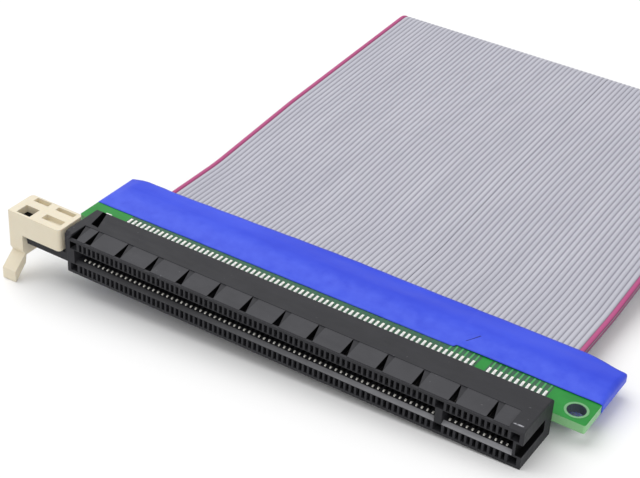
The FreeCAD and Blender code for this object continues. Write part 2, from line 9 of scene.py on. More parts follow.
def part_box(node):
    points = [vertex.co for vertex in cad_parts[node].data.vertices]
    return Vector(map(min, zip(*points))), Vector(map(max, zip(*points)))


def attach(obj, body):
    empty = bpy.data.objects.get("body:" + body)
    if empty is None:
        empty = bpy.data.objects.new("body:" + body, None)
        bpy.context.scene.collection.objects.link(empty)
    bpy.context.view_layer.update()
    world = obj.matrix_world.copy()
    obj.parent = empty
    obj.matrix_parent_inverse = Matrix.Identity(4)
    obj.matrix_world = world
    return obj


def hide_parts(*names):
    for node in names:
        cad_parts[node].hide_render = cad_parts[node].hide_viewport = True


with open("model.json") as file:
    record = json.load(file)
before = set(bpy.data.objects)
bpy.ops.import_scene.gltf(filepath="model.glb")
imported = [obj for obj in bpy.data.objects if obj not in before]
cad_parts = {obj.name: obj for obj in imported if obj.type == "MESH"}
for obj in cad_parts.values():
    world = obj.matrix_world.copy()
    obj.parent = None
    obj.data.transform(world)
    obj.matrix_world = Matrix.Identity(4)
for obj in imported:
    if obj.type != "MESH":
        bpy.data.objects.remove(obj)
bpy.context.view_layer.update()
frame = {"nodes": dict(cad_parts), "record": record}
MM = 0.001
random.seed(7)

# ----------------------------------------
# Driving sizes in millimetres, the same ones the solids are built from.
# ----------------------------------------
PITCH = 1.0
LONG_COUNT = 71
KEY_COUNT = 2
SHORT_COUNT = 11
HALF_SPAN = PITCH * (LONG_COUNT + KEY_COUNT + SHORT_COUNT - 1) / 2
HALF_LENGTH = HALF_SPAN + 3.0
HOUSING_DEPTH = 10.3
HOUSING_TOP = 7.5
SLOT_LEVEL = 3.5
BOARD_HALF = 0.8
BOARD_TOP = SLOT_LEVEL + BOARD_HALF
BOARD_BOTTOM = SLOT_LEVEL - BOARD_HALF
BOARD_BACK = 22.0
EDGE_LEVEL = 0.92
EDGE_BACK = 101.0

# The lever's lowest point, along x and z.
LEVER_TIP = (-56.5, -5.7)

# Painted highlight on the front top edge of the right end: middle and half sizes along x, y and z.
EDGE_HIGHLIGHT_PLACE = (43.0, 0.95, 7.5)
EDGE_HIGHLIGHT_HALF = (0.9, 0.16, 0.4)

# Along x, the lead-in is rubbed more and more between these places.
WORN_FROM = -20.0
WORN_TO = 38.0

# Contact strips are painted dark as shade in their cells: tips stay bright up to this depth and this
# near the slot's middle level, and tails stay bright from this depth on.
BRIGHT_TIP_DEPTH = 1.52
BRIGHT_TIP_HALF = 0.94
BRIGHT_TAIL_FROM = 9.0

# The tape's flat front is painted paler as light: fully up to here, and no longer from there on.
LIT_BAND_FULL = 19.6
LIT_BAND_END = 22.4

# The tape's one sharp crease, painted dark as shade: its start, middle, slant and half sizes.
CREASE_SIDE = 24.0
CREASE_FRONT = 16.8
CREASE_SHADE_MIDDLE = 19.3
CREASE_LEAN = -0.69
CREASE_SHADE_HALF_WIDTH = 0.13
CREASE_SHADE_HALF_LENGTH = 1.1

# Contact middles of the long and the short group.
CONTACTS = [-HALF_SPAN + PITCH * place for place in range(LONG_COUNT)]
CONTACTS += [-HALF_SPAN + PITCH * (LONG_COUNT + KEY_COUNT + place) for place in range(SHORT_COUNT)]


def node_box(name):
    """Lowest and highest corner of a node, in millimetres."""
    low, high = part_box(name)
    return [Vector(corner) / MM for corner in (low, high)]


# ----------------------------------------
# Small helpers for meshes and node trees.
# ----------------------------------------
def mesh_piece(name, verts, faces, body):
    """Make a smooth mesh piece from corners in millimetres and let it ride on a body."""
    mesh = bpy.data.meshes.new(name)
    mesh.from_pydata([[c * MM for c in vert] for vert in verts], [], faces)
    mesh.validate()
    mesh.update()
    piece = bpy.data.objects.new(name, mesh)
    bpy.context.collection.objects.link(piece)
    for face in mesh.polygons:
        face.use_smooth = True
    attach(piece, body)
    return piece


def linear(red, green, blue):
    """Turn a screen colour of 0 to 255 into a scene colour."""
    out = []
    for level in (red, green, blue):
        level /= 255
        out.append(level / 12.92 if level <= 0.04045 else ((level + 0.055) / 1.055) ** 2.4)
    return (*out, 1.0)


class Material:
    """A node material with short names for what every finish here needs."""

    def __init__(self, name, colour, roughness, metallic=0.0, specular=0.5):
        self.data = bpy.data.materials.new(name)
        self.data.use_nodes = True
        self.tree = self.data.node_tree
        self.shader = self.tree.nodes["Principled BSDF"]
        self.shader.inputs["Base Color"].default_value = colour
        self.shader.inputs["Roughness"].default_value = roughness
        self.shader.inputs["Metallic"].default_value = metallic
        self.shader.inputs["Specular IOR Level"].default_value = specular
        self.place = self.tree.nodes.new("ShaderNodeTexCoord").outputs["Object"]
        self.height = None

    def link(self, source, target):
        self.tree.links.new(source, target)

    def scaled(self, scale):
        """Object coordinates, stretched."""
        node = self.tree.nodes.new("ShaderNodeMapping")
        node.inputs["Scale"].default_value = scale
        self.link(self.place, node.inputs["Vector"])
        return node.outputs["Vector"]

    def noise(self, scale, detail=4.0, roughness=0.55, stretch=(1, 1, 1)):
        """Cloudy variation from zero to one."""
        node = self.tree.nodes.new("ShaderNodeTexNoise")
        node.inputs["Scale"].default_value = scale
        node.inputs["Detail"].default_value = detail
        node.inputs["Roughness"].default_value = roughness
        self.link(self.scaled(stretch), node.inputs["Vector"])
        return node.outputs["Fac"]

    def math(self, kind, first, second=0.0, clamp=False):
        """Arithmetic on numbers or sockets."""
        node = self.tree.nodes.new("ShaderNodeMath")
        node.operation = kind
        node.use_clamp = clamp
        for socket, level in zip(node.inputs, (first, second)):
            if isinstance(level, (int, float)):
                socket.default_value = level
            else:
                self.link(level, socket)
        return node.outputs[0]

    def ramp(self, source, stops):
        """Colours along a range."""
        node = self.tree.nodes.new("ShaderNodeValToRGB")
        marks = node.color_ramp.elements
        while len(marks) < len(stops):
            marks.new(0.5)
        for mark, (place, colour) in zip(marks, stops):
            mark.position = place
            mark.color = colour
        self.link(source, node.inputs["Fac"])
        return node.outputs["Color"]

    def grey(self, source, stops):
        """A black to white curve."""
        return self.ramp(source, [(place, (level, level, level, 1)) for place, level in stops])

    def mix(self, amount, first, second):
        """Blend two colours."""
        node = self.tree.nodes.new("ShaderNodeMix")
        node.data_type = "RGBA"
        factor, colour_a, colour_b = (node.inputs[place] for place in (0, 6, 7))
        for socket, level in ((factor, amount), (colour_a, first), (colour_b, second)):
            if isinstance(level, (int, float, tuple)):
                socket.default_value = level
            else:
                self.link(level, socket)
        return node.outputs[2]

    def colour(self, source):
        self.link(source, self.shader.inputs["Base Color"])

    def rough(self, source, low, high):
        """Roughness from low to high along a source."""
        node = self.tree.nodes.new("ShaderNodeMapRange")
        node.inputs["To Min"].default_value = low
        node.inputs["To Max"].default_value = high
        self.link(source, node.inputs["Value"])
        self.link(node.outputs["Result"], self.shader.inputs["Roughness"])

    def bump(self, source, depth_mm, strength=1.0):
        """Add relief; several calls stack."""
        node = self.tree.nodes.new("ShaderNodeBump")
        node.inputs["Strength"].default_value = strength
        node.inputs["Distance"].default_value = depth_mm * MM
        self.link(source, node.inputs["Height"])
        if self.height:
            self.link(self.height, node.inputs["Normal"])
        self.height = node.outputs["Normal"]
        self.link(self.height, self.shader.inputs["Normal"])

    def soft_edges(self, radius_mm):
        """Round every sharp edge a little, before other relief is added."""
        node = self.tree.nodes.new("ShaderNodeBevel")
        node.samples = 6
        node.inputs["Radius"].default_value = radius_mm * MM
        self.height = node.outputs["Normal"]
        self.link(self.height, self.shader.inputs["Normal"])

    def split(self):
        """Separate x, y and z of the object coordinates."""
        node = self.tree.nodes.new("ShaderNodeSeparateXYZ")
        self.link(self.place, node.inputs[0])
        return node.outputs

    def span(self, source, start, end):
        """Zero to one from start to end along a coordinate, in millimetres."""
        node = self.tree.nodes.new("ShaderNodeMapRange")
        node.inputs["From Min"].default_value = start * MM
        node.inputs["From Max"].default_value = end * MM
        self.link(source, node.inputs["Value"])
        return node.outputs["Result"]

    def within(self, source, middle, half):
        """One where a coordinate lies within a distance, in millimetres, of a place."""
        apart = self.math("ABSOLUTE", self.math("SUBTRACT", source, middle * MM))
        return self.math("LESS_THAN", apart, half * MM)


# ----------------------------------------
# Finishes. Noise scales are per metre, and the depths of relief are in millimetres.
# ----------------------------------------
def black_moulding(name, dark, pale, shine=0.2):
    """Glass-filled black plastic: fine grain, flow streaks, pale scuffs in patches."""
    m = Material(name, pale, 0.6, specular=shine)
    m.soft_edges(0.12)
    cloud = m.noise(260, 5)
    streak = m.noise(900, 3, stretch=(0.25, 1.0, 1.0))
    tone = m.mix(cloud, dark, pale)
    specks = m.grey(m.noise(1500, 2), [(0.0, 0), (0.69, 0), (0.76, 1)])
    patches = m.grey(m.noise(120, 3), [(0.0, 0), (0.5, 0), (0.65, 1)])
    scuff = m.math("MULTIPLY", m.math("MULTIPLY", specks, patches), 0.5)
    tone = m.mix(scuff, tone, linear(140, 140, 145))
    # Painted highlight: pale flecks on the front top edge of the right end.
    edge_highlight = 1.0
    for source, middle, half in zip(m.split(), EDGE_HIGHLIGHT_PLACE, EDGE_HIGHLIGHT_HALF):
        edge_highlight = m.math("MULTIPLY", edge_highlight, m.within(source, middle, half))
    highlight_flecks = m.grey(m.noise(1100, 2), [(0.0, 0), (0.42, 0), (0.55, 1)])
    tone = m.mix(m.math("MULTIPLY", edge_highlight, highlight_flecks), tone, linear(158, 158, 164))
    m.colour(tone)
    m.rough(streak, 0.42, 0.68)
    m.bump(m.noise(5200, 2), 0.012, 0.6)
    m.bump(streak, 0.02, 0.5)
    return m.data


def worn_lip():
    """Lead-in edge of the slot, rubbed grey by the card; most towards the right end."""
    m = Material("worn_lip", linear(140, 140, 145), 0.5, specular=0.3)
    run = m.span(m.split()[0], WORN_FROM, WORN_TO)
    cloud = m.noise(900, 4, stretch=(0.3, 1, 1))
    wear = m.math("MULTIPLY", run, m.grey(cloud, [(0.2, 0.6), (0.7, 1)]))
    m.colour(m.mix(wear, linear(52, 52, 55), linear(158, 158, 162)))
    m.rough(cloud, 0.4, 0.6)
    m.bump(cloud, 0.02, 0.5)
    return m.data


def cream_moulding():
    """Natural nylon: slightly waxy, uneven cream with faint sink marks."""
    m = Material("cream_moulding", linear(226, 216, 193), 0.42, specular=0.4)
    m.soft_edges(0.2)
    cloud = m.noise(220, 4)
    tone = m.mix(cloud, linear(220, 209, 185), linear(231, 222, 200))
    m.colour(tone)
    m.rough(cloud, 0.36, 0.52)
    m.bump(m.noise(3000, 3), 0.012, 0.5)
    m.bump(m.noise(350, 2), 0.05, 0.35)
    m.shader.inputs["Subsurface Weight"].default_value = 0.15
    m.shader.inputs["Subsurface Radius"].default_value = (0.004, 0.003, 0.002)
    m.shader.inputs["Subsurface Scale"].default_value = 0.25
    return m.data


def tinned(name, tint):
    """Bright tin with dull spots and a fine grain."""
    m = Material(name, tint, 0.3, metallic=0.35, specular=0.6)
    cloud = m.noise(1800, 4)
    m.colour(m.mix(cloud, tuple(level * 0.85 for level in tint[:3]) + (1,), tint))
    m.rough(cloud, 0.22, 0.45)
    m.bump(m.noise(4000, 2), 0.01, 0.5)
    return m.data


def contact_strip():
    """Bright plating where the tip touches the card and at the tail, painted shade in between."""
    bright = linear(245, 243, 236)
    # The dull tone is painted shade on the strip inside its cell.
    dull = linear(34, 32, 30)
    m = Material("contact_metal", bright, 0.3, metallic=0.3, specular=0.6)
    cloud = m.noise(1800, 4)
    depth, level = m.split()[1:3]
    tip = m.math("LESS_THAN", depth, BRIGHT_TIP_DEPTH * MM)
    tip = m.math("MULTIPLY", tip, m.within(level, SLOT_LEVEL, BRIGHT_TIP_HALF))
    tail = m.math("GREATER_THAN", depth, BRIGHT_TAIL_FROM * MM)
    unshaded = m.math("ADD", tip, tail, clamp=True)
    tone = m.mix(unshaded, dull, bright)
    m.colour(m.mix(m.math("MULTIPLY", cloud, 0.25), tone, linear(150, 148, 140)))
    m.rough(cloud, 0.22, 0.45)
    m.bump(m.noise(4000, 2), 0.01, 0.5)
    return m.data


def hole_lining():
    """Ring round the fixing hole: tinned copper seen thinly through green mask."""
    m = Material("hole_lining", linear(104, 164, 112), 0.35, specular=0.3)
    cloud = m.noise(1400, 4)
    m.colour(m.mix(cloud, linear(90, 156, 100), linear(132, 178, 134)))
    m.rough(cloud, 0.25, 0.45)
    m.bump(m.noise(3200, 2), 0.01, 0.5)
    return m.data


def gold_finish():
    """Thin gold over nickel with wipe marks along the fingers."""
    m = Material("finger_gold", linear(222, 180, 96), 0.28, metallic=0.9)
    wipe = m.noise(2600, 4, stretch=(1.0, 0.12, 1.0))
    m.colour(m.mix(wipe, linear(206, 160, 78), linear(234, 196, 116)))
    m.rough(wipe, 0.18, 0.42)
    m.bump(wipe, 0.008, 0.6)
    return m.data


def solder_mask():
    """Green mask over glass fibre: mottled faces, pale cut edges with a faint weave."""
    m = Material("green_board", linear(34, 136, 54), 0.3, specular=0.2)
    m.soft_edges(0.06)
    cloud = m.noise(420, 4)
    face = m.mix(cloud, linear(26, 124, 46), linear(38, 146, 58))
    geometry = m.tree.nodes.new("ShaderNodeNewGeometry")
    normal = m.tree.nodes.new("ShaderNodeSeparateXYZ")
    m.link(geometry.outputs["True Normal"], normal.inputs[0])
    upright = m.math("ABSOLUTE", normal.outputs[2])
    flat = m.grey(upright, [(0.0, 0), (0.55, 0), (0.65, 1)])
    fibre = m.noise(2400, 3, stretch=(1, 1, 6))
    edge = m.mix(fibre, linear(124, 186, 126), linear(154, 206, 150))
    m.colour(m.mix(flat, edge, face))
    m.rough(cloud, 0.24, 0.4)
    m.bump(m.noise(1700, 2), 0.01, 0.5)
    m.shader.inputs["Coat Weight"].default_value = 0.1
    m.shader.inputs["Coat Roughness"].default_value = 0.2
    return m.data


def trace_copper(name, dark, pale):
    """Copper tracks seen through the mask."""
    m = Material(name, pale, 0.3, specular=0.4)
    cloud = m.noise(900, 3)
    m.colour(m.mix(cloud, dark, pale))
    m.rough(cloud, 0.22, 0.38)
    return m.data


def mask_painted_shade():
    """Deep green: painted shade on the mask behind the tails."""
    m = Material("mask_painted_shade", linear(20, 78, 52), 0.3, specular=0.5)
    cloud = m.noise(700, 3)
    m.colour(m.mix(cloud, linear(14, 66, 44), linear(28, 92, 60)))
    m.rough(cloud, 0.24, 0.42)
    return m.data


def blue_film():
    """Smooth blue film tape: haze, soft waves, painted light in front, painted shade in the crease.
    """
    m = Material("blue_tape", linear(52, 74, 218), 0.4, specular=0.16)
    cloud = m.noise(70, 4, stretch=(0.5, 1.4, 1))
    haze = m.noise(420, 5)
    tone = m.mix(m.grey(cloud, [(0.3, 0), (0.7, 1)]), linear(38, 60, 206), linear(56, 80, 224))
    tone = m.mix(m.math("MULTIPLY", haze, 0.22), tone, linear(80, 102, 230))
    x, y = m.split()[0:2]
    band = m.span(y, LIT_BAND_END, LIT_BAND_FULL)
    # Painted light: the flat front band is paler.
    front_light = m.math("MULTIPLY", band, m.grey(haze, [(0.3, 0.35), (0.65, 1)]))
    tone = m.mix(m.math("MULTIPLY", front_light, 0.6), tone, linear(82, 104, 232))
    # Painted shade along the crease.
    behind = m.math("SUBTRACT", y, CREASE_FRONT * MM)
    lean = m.math("ADD", x, m.math("MULTIPLY", behind, CREASE_LEAN))
    across = m.within(lean, CREASE_SIDE, CREASE_SHADE_HALF_WIDTH)
    crease = m.math("MULTIPLY", across, m.within(y, CREASE_SHADE_MIDDLE, CREASE_SHADE_HALF_LENGTH))
    tone = m.mix(m.math("MULTIPLY", crease, 0.85), tone, linear(30, 36, 120))
    m.colour(tone)
    m.rough(haze, 0.28, 0.48)
    m.bump(m.noise(160, 3, stretch=(0.35, 1.3, 1)), 0.12, 0.5)
    m.bump(m.noise(1300, 3), 0.02, 0.5)
    return m.data


def wire_insulation(name, pale, dark, groove_shade):
    """Soft ribbon insulation: painted shade between the wires, faintly uneven along them."""
    m = Material(name, pale, 0.5, specular=0.3)
    along = m.noise(240, 4, stretch=(1.0, 0.2, 0.4))
    tone = m.mix(m.grey(along, [(0.25, 0), (0.75, 1)]), dark, pale)
    valley_shade = m.tree.nodes.new("ShaderNodeVertexColor")
    valley_shade.layer_name = "valley_shade"
    tone = m.mix(valley_shade.outputs["Color"], tone, groove_shade)
    m.colour(tone)
    m.rough(along, 0.42, 0.6)
    m.bump(m.noise(1500, 3, stretch=(1, 0.5, 1)), 0.02, 0.5)
    return m.data


FINISH = {
    "black_moulding": black_moulding("black_moulding", linear(38, 38, 41), linear(49, 49, 53)),
    # A paler copy of the moulding: painted light on the sloped pads.
    "pad_moulding_painted_light": black_moulding("pad_moulding_painted_light", linear(56, 56, 59), linear(69, 69, 73)),
    "shaded_moulding": black_moulding("shaded_moulding", linear(9, 9, 10), linear(15, 15, 16), 0.05),
    # Dark grey-blue: painted shade inside the fixing hole.
    "hole_shade_lining": black_moulding("hole_shade_lining", linear(58, 70, 78), linear(76, 86, 98), 0.3),
    "worn_lip": worn_lip(),
    "hole_lining": hole_lining(),
    "cream_moulding": cream_moulding(),
    "contact_metal": contact_strip(),
    "solder_metal": tinned("solder_metal", linear(240, 240, 238)),
    "finger_gold": gold_finish(),
    "green_board": solder_mask(),
    "masked_track": trace_copper("masked_track", linear(56, 148, 76), linear(78, 172, 96)),
    "track_painted_shade": trace_copper("track_painted_shade", linear(22, 84, 60), linear(34, 104, 72)),
    "mask_painted_shade": mask_painted_shade(),
    "blue_tape": blue_film(),
    "grey_ribbon": wire_insulation("grey_ribbon", linear(192, 192, 202), linear(180, 180, 191),
                                   linear(128, 127, 139)),
    "red_wire": wire_insulation("red_wire", linear(184, 84, 134), linear(170, 70, 120),
                                linear(110, 38, 78)),
}


def dress(piece, *finishes):
    """Give a piece its finishes, in slot order."""
    piece.data.materials.clear()
    for finish in finishes:
        piece.data.materials.append(FINISH[finish])


for part in frame["record"]["subparts"]:
    dress(frame["nodes"][part["node"]], part["material_slot"])
dress(frame["nodes"]["fixing_hole_ring"], "hole_lining")


# ----------------------------------------
# Flat ribbon: rounded wires along a smooth run that folds back underneath.
# ----------------------------------------
WIDE_WIRES = 50
NARROW_WIRES = 34
RIBBON_SPLIT = 0.3
RIBBON_SHIFT = 0.12
RIBBON_OVERLAP = 0.04
LAYER_GAP = 0.02
RIDGE = 0.26

# The middle surface runs flat, rises, eases off to its crest and folds back underneath.
FLAT_RUN = 15.4
RISE_RUN = 22.4
CREST_RUN = 43.0
BEND_RADIUS = 60.0
RISE = math.radians(5.0)
CREST = math.radians(3.0)
STRAIGHT_STEPS = 10
BEND_STEPS = 5
FOLD_STEPS = 26
WIRE_POINTS = 6
# How fast the painted shade between the wires fades towards their crests.
VALLEY_FALL = 1.5


def ribbon_spine():
    """Places and headings along the middle surface of the ribbon pair."""
    spine = [(BOARD_BACK, SLOT_LEVEL, 0.0)]

    def straight(length, steps=STRAIGHT_STEPS):
        y, z, angle = spine[-1]
        for step in range(1, steps + 1):
            reach = length * step / steps
            spine.append((y + reach * math.cos(angle), z + reach * math.sin(angle), angle))

    def turn(sweep, radius, steps):
        y, z, angle = spine[-1]
        side = math.copysign(1.0, sweep)
        centre = (y - side * radius * math.sin(angle), z + side * radius * math.cos(angle))
        for step in range(1, steps + 1):
            heading = angle + sweep * step / steps
            spine.append((centre[0] + side * radius * math.sin(heading),
                          centre[1] - side * radius * math.cos(heading), heading))

    straight(FLAT_RUN)
    turn(RISE, BEND_RADIUS, BEND_STEPS)
    straight(RISE_RUN)
    turn(CREST - RISE, BEND_RADIUS, BEND_STEPS)
    straight(CREST_RUN)
    drop = spine[-1][1] - EDGE_LEVEL
    turn(-math.pi - CREST, drop / (1 + math.cos(CREST)), FOLD_STEPS)
    straight(spine[-1][0] - EDGE_BACK)
    return spine


def ribbon_piece(name, node, left, wires, sign, red_edge):
    """One ribbon of round-backed wires; sign is +1 for the outer layer."""
    near_face = sign * LAYER_GAP / 2
    far_face = sign * BOARD_HALF
    middle = (near_face + far_face) / 2
    half = abs(far_face - near_face) / 2
    section = []
    for wire in range(wires):
        for point in range(WIRE_POINTS):
            share = point / WIRE_POINTS
            swell = math.sqrt(math.sin(math.pi * share)) if point else 0.0
            section.append((left + (wire + share) * PITCH, half - RIDGE * (1 - swell), swell))
    section.append((left + wires * PITCH, half - RIDGE, 0.0))
    count = len(section)
    spine = ribbon_spine()
    verts = []
    swells = []
    for y, z, angle in spine:
        for face in (1, -1):
            for x, rise, swell in section:
                height = middle + face * rise
                verts.append((x, y - height * math.sin(angle), z + height * math.cos(angle)))
                swells.append(swell)
    faces = []
    ring = 2 * count
    for step in range(len(spine) - 1):
        base = step * ring
        for point in range(count - 1):
            a = base + point
            faces.append((a, a + 1, a + 1 + ring, a + ring))
            b = base + count + point
            faces.append((b + 1, b, b + ring, b + 1 + ring))
        faces.append((base + count, base, base + ring, base + count + ring))
        last = base + count - 1
        faces.append((last, last + count, last + count + ring, last + ring))
    for base in (0, (len(spine) - 1) * ring):
        for point in range(count - 1):
            quad = (base + point, base + point + count, base + point + count + 1, base + point + 1)
            faces.append(quad if base == 0 else quad[::-1])
    piece = mesh_piece(name, verts, faces, "riser")
    dress(piece, "grey_ribbon", "red_wire")
    mesh = piece.data
    if sign > 0 and mesh.polygons[0].normal.z < 0:
        mesh.flip_normals()
    # Painted shade between the wires, deepest in the valleys.
    colour = mesh.color_attributes.new("valley_shade", "FLOAT_COLOR", "POINT")
    for index, swell in enumerate(swells):
        depth = (1 - swell) ** VALLEY_FALL
        colour.data[index].color = (depth, depth, depth, 1)
    red_from = left if red_edge == "left" else left + (wires - 1) * PITCH
    red_to = red_from + PITCH
    for face in mesh.polygons:
        if red_from <= face.center.x / MM <= red_to:
            face.material_index = 1
    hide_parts(node)


def build_ribbons():
    whole = (WIDE_WIRES + NARROW_WIRES) * PITCH + RIBBON_SPLIT
    left = -whole / 2 + RIBBON_SHIFT
    second = left + WIDE_WIRES * PITCH - RIBBON_OVERLAP
    for layer, sign in (("outer", 1), ("inner", -1)):
        wide = layer + "_ribbon_wide"
        narrow = layer + "_ribbon_narrow"
        ribbon_piece(wide + "_look", wide, left, WIDE_WIRES, sign, "left")
        ribbon_piece(narrow + "_look", narrow, second, NARROW_WIRES, sign, "right")


build_ribbons()


# ----------------------------------------
# Slot housing: the moulding with its pads, wedge-shaped pockets, cells, end wall and latch arm.
# ----------------------------------------
LIP = 7.0
BACK_BEVEL = 0.8
FRONT_BEVEL = 0.7
ARC_STEPS = 10
CORNER_STEPS = 4
ROUND_CORNERS = 24

# Faces this near each other count as one, joined bars stop this far short of a face, and
# they reach this far into what carries them. A cutter reaches this far past a face.
SAME_PLACE = 0.02
SHORT_OF = 0.01
ROOT = 0.2
PAST = 1.0

# Sloped pads along the top, each with a pocket beside it.
RAMP_START = 0.3
RAMP_END = 4.3
RAMP_WIDTH = 5.3
RAMP_PITCH = 6.55
RAMP_COUNT = 12
FIRST_RAMP = 4.94 - HALF_LENGTH
GROOVE_WIDTH = RAMP_PITCH - RAMP_WIDTH
GROOVE_START = 0.5
GROOVE_END = RAMP_END - 0.1
GROOVE_TIP = 0.15
GROOVE_FLOOR = 6.1
PAD_STEP = 0.08
LEFT_PAD_WIDTH = 1.8
RIGHT_PAD_WIDTH = 2.76
LEFT_PAD = FIRST_RAMP - GROOVE_WIDTH - LEFT_PAD_WIDTH
LEFT_GROOVE = LEFT_PAD - GROOVE_WIDTH
RIGHT_RAMP_END = FIRST_RAMP + RAMP_PITCH * RAMP_COUNT + RIGHT_PAD_WIDTH
GROOVES = [FIRST_RAMP - GROOVE_WIDTH + RAMP_PITCH * place for place in range(RAMP_COUNT + 1)]
GROOVES.append(LEFT_GROOVE)

# Card slot, its key, and the cells of the contacts.
SLOT_DEPTH = 8.3
SLOT_SIDE = 1.4
MOUTH_HALF = 1.4
CARD_HALF = 0.975
KEY_SIDE = 30.0
KEY_HALF = 0.65
LEAD_IN = 0.8
CELL_HALF = 0.3
CELL_INNER = 1.5
CELL_OUTER = 3.0
CELL_LAP = 0.1
BLIND_SETBACK = 1.55
BLIND_HALF = 0.75
BLIND_DEPTH = 2.0
BLIND_HEIGHT = 1.5

# End wall and the arm that carries the latch.
WALL_SIDE = -HALF_LENGTH - 1.0
WALL_BEVEL = 0.5
ARM_LEFT = -54.8
ARM_FRONT = 0.7
ARM_BOTTOM = 1.35
ARM_TOP = 3.0
ARM_CORNER = 0.5
ARM_RADIUS = 3.0
PIVOT = (-51.8, 5.0)
POST_RADIUS = 1.9
POST_TOP = 6.2
BORE_RADIUS = 1.2

# Skewed notch at the left end, slit and bevel at the right end.
NOTCH_LEFT = 1.2 - HALF_LENGTH
NOTCH_RIGHT = 2.9 - HALF_LENGTH
NOTCH_PLAN = [(NOTCH_LEFT, 5.2), (NOTCH_RIGHT, 5.0), (NOTCH_LEFT, 9.7), (NOTCH_LEFT - 0.8, 9.4)]
NOTCH_FRONT = 5.0
NOTCH_BEHIND = 9.8
NOTCH_FLOOR = 6.0
END_SLIT = 1.1
END_SLIT_HALF = 1.15
END_SLIT_BACK = 7.7
END_BEVEL = 0.45
END_BEVEL_PAST = 0.05

# Finishes of the housing, in slot order: plain, painted light, painted shade, worn.
MOULDED, PAD_LIGHT, SHADED, WORN = range(4)

# What tells its faces apart: normals of level faces, of pads and of the lead-in, and how far
# under the floor of a pocket the walls still count as part of it.
LEVEL_NORMAL = 0.9
PAD_NORMAL = 0.2
LEAD_NORMAL = (-0.2, 0.3)
BELOW_POCKET = 0.5


def prism(profile, low, high, axis="x"):
    """Corners and faces of a straight bar; the profile is (y, z) along x, or (x, y) along z."""
    count = len(profile)
    ends = []
    for level in (low, high):
        for first, second in profile:
            ends.append((level, first, second) if axis == "x" else (first, second, level))
    faces = [tuple(range(count))[::-1], tuple(range(count, 2 * count))]
    for index in range(count):
        following = (index + 1) % count
        faces.append((index, following, following + count, index + count))
    return ends, faces


def arc(centre, radius, start, end, steps=ARC_STEPS):
    """Points of an arc in plan, angles in degrees."""
    points = []
    for step in range(steps + 1):
        angle = math.radians(start + (end - start) * step / steps)
        points.append((centre[0] + radius * math.cos(angle), centre[1] + radius * math.sin(angle)))
    return points


def circle(centre, radius):
    """Corners of a whole round in plan."""
    return arc(centre, radius, 0, 360 - 360 / ROUND_CORNERS, ROUND_CORNERS - 1)


def solid_mesh(name, bars):
    """One mesh object of several separate bars, faces turned outwards."""
    verts = []
    faces = []
    for corners, sides in bars:
        first = len(verts)
        verts += [[c * MM for c in corner] for corner in corners]
        faces += [tuple(first + index for index in side) for side in sides]
    mesh = bpy.data.meshes.new(name)
    mesh.from_pydata(verts, [], faces)
    work = bmesh.new()
    work.from_mesh(mesh)
    bmesh.ops.recalc_face_normals(work, faces=work.faces)
    work.to_mesh(mesh)
    work.free()
    piece = bpy.data.objects.new(name, mesh)
    bpy.context.collection.objects.link(piece)
    return piece


def carve(piece, bars, operation="DIFFERENCE"):
    """Cut bars out of a piece, or join them to it, for good."""
    tool = solid_mesh(piece.name + "_tool", bars)
    change = piece.modifiers.new("carve", "BOOLEAN")
    change.object = tool
    change.operation = operation
    change.solver = "EXACT"
    ready = piece.evaluated_get(bpy.context.evaluated_depsgraph_get())
    mesh = bpy.data.meshes.new_from_object(ready)
    piece.modifiers.clear()
    old = piece.data
    piece.data = mesh
    bpy.data.meshes.remove(old)
    bpy.data.objects.remove(tool)


def box_bar(left, right, front, back, low, high):
    """A straight box as a bar."""
    return prism([(front, low), (back, low), (back, high), (front, high)], left, right)


def housing_finish(face):
    """Slot of a housing face: pads painted paler as light, pockets shaded, lower lead-in worn."""
    x, y, z = (level / MM for level in face.center)
    slope = LIP + (HOUSING_TOP - LIP) * (y - RAMP_START) / (RAMP_END - RAMP_START)
    level = face.normal.z > LEVEL_NORMAL
    if GROOVE_START <= y <= RAMP_END and GROOVE_FLOOR - BELOW_POCKET < z < slope + SAME_PLACE:
        if any(left - SAME_PLACE < x < left + GROOVE_WIDTH + SAME_PLACE for left in GROOVES):
            return MOULDED if level and z > slope - 2.5 * PAD_STEP else SHADED
        if level and abs(face.normal.y) < PAD_NORMAL and z > slope - 2 * PAD_STEP:
            return PAD_LIGHT
    notched = NOTCH_LEFT - PAST < x < NOTCH_RIGHT and NOTCH_FRONT <= y < NOTCH_BEHIND
    if notched and NOTCH_FLOOR - SAME_PLACE < z < HOUSING_TOP - SAME_PLACE:
        return SHADED
    slit = HALF_LENGTH - END_SLIT - SAME_PLACE < x < HALF_LENGTH - SAME_PLACE
    slit = slit and abs(z - SLOT_LEVEL) < END_SLIT_HALF + SAME_PLACE
    if slit and 0 < y < END_SLIT_BACK + SAME_PLACE:
        return SHADED
    leading = face.normal.y < LEAD_NORMAL[0] and face.normal.z > LEAD_NORMAL[1]
    if y < LEAD_IN and z < SLOT_LEVEL and leading:
        return WORN
    return MOULDED


